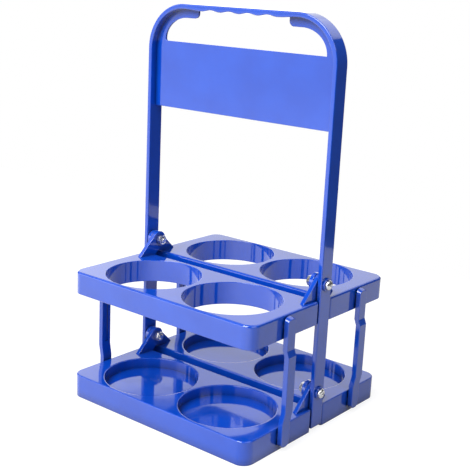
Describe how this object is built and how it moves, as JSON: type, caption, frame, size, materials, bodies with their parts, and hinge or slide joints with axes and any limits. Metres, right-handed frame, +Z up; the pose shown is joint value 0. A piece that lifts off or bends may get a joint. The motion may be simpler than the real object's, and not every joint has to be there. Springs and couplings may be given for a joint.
{
  "type": "folding bottle carrier",
  "caption": "Folding plastic bottle carrier: tall handle frame with blank panel, hinged ring shelves over cup trays, and side struts that fold them flat.",
  "frame": {"origin": "on the floor under the middle of the handle frame, carrier unfolded", "axes": "+Z up along the frame's legs, X across the handle's width, -Y towards the front half"},
  "size_m": [0.2152, 0.195, 0.3466],
  "materials": {
    "frame_plastic": "glossy royal blue moulded plastic",
    "shelf_plastic": "glossy royal blue moulded plastic, mirror-like tops",
    "strut_plastic": "glossy royal blue moulded plastic",
    "bolt_chrome": "bright plated steel",
    "nut_chrome": "bright plated steel"
  },
  "bodies": {
    "frame": {"handle_frame": "frame_plastic", "bolt_upper_left": "bolt_chrome", "bolt_upper_right": "bolt_chrome", "bolt_lower_left": "bolt_chrome", "bolt_lower_right": "bolt_chrome", "nut_upper_left": "nut_chrome", "nut_upper_right": "nut_chrome", "nut_lower_left": "nut_chrome", "nut_lower_right": "nut_chrome"},
    "upper_front": {"upper_shelf_front": "shelf_plastic"},
    "upper_rear": {"upper_shelf_rear": "shelf_plastic"},
    "lower_front": {"lower_tray_front": "shelf_plastic"},
    "lower_rear": {"lower_tray_rear": "shelf_plastic"},
    "link_front_left": {"strut_front_left": "strut_plastic"},
    "link_front_right": {"strut_front_right": "strut_plastic"},
    "link_rear_left": {"strut_rear_left": "strut_plastic"},
    "link_rear_right": {"strut_rear_right": "strut_plastic"}
  },
  "joints": [
    {"name": "front_fold", "type": "hinge", "parent": "frame", "child": "upper_front", "pos_m": [0, 0, 0.13], "axis": [-1, 0, 0], "range_deg": [0, 90]},
    {"name": "rear_fold", "type": "hinge", "parent": "frame", "child": "upper_rear", "pos_m": [0, 0, 0.13], "axis": [1, 0, 0], "range_deg": [0, 90]},
    {"name": "front_tray_fold", "type": "hinge", "parent": "frame", "child": "lower_front", "pos_m": [0, 0, 0.034], "axis": [-1, 0, 0], "range_deg": [0, 90]},
    {"name": "rear_tray_fold", "type": "hinge", "parent": "frame", "child": "lower_rear", "pos_m": [0, 0, 0.034], "axis": [1, 0, 0], "range_deg": [0, 90]},
    {"name": "front_left_strut_swing", "type": "hinge", "parent": "upper_front", "child": "link_front_left", "pos_m": [-0.1, -0.0526, 0.1076], "axis": [1, 0, 0], "range_deg": [0, 90]},
    {"name": "front_right_strut_swing", "type": "hinge", "parent": "upper_front", "child": "link_front_right", "pos_m": [0.1, -0.0526, 0.1076], "axis": [1, 0, 0], "range_deg": [0, 90]},
    {"name": "rear_left_strut_swing", "type": "hinge", "parent": "upper_rear", "child": "link_rear_left", "pos_m": [-0.1, 0.0526, 0.1076], "axis": [-1, 0, 0], "range_deg": [0, 90]},
    {"name": "rear_right_strut_swing", "type": "hinge", "parent": "upper_rear", "child": "link_rear_right", "pos_m": [0.1, 0.0526, 0.1076], "axis": [-1, 0, 0], "range_deg": [0, 90]}
  ],
  "couplings": [
    {"joint": "front_tray_fold", "follows": "front_fold", "ratio": 1},
    {"joint": "front_left_strut_swing", "follows": "front_fold", "ratio": 1},
    {"joint": "front_right_strut_swing", "follows": "front_fold", "ratio": 1},
    {"joint": "rear_tray_fold", "follows": "rear_fold", "ratio": 1},
    {"joint": "rear_left_strut_swing", "follows": "rear_fold", "ratio": 1},
    {"joint": "rear_right_strut_swing", "follows": "rear_fold", "ratio": 1}
  ]
}
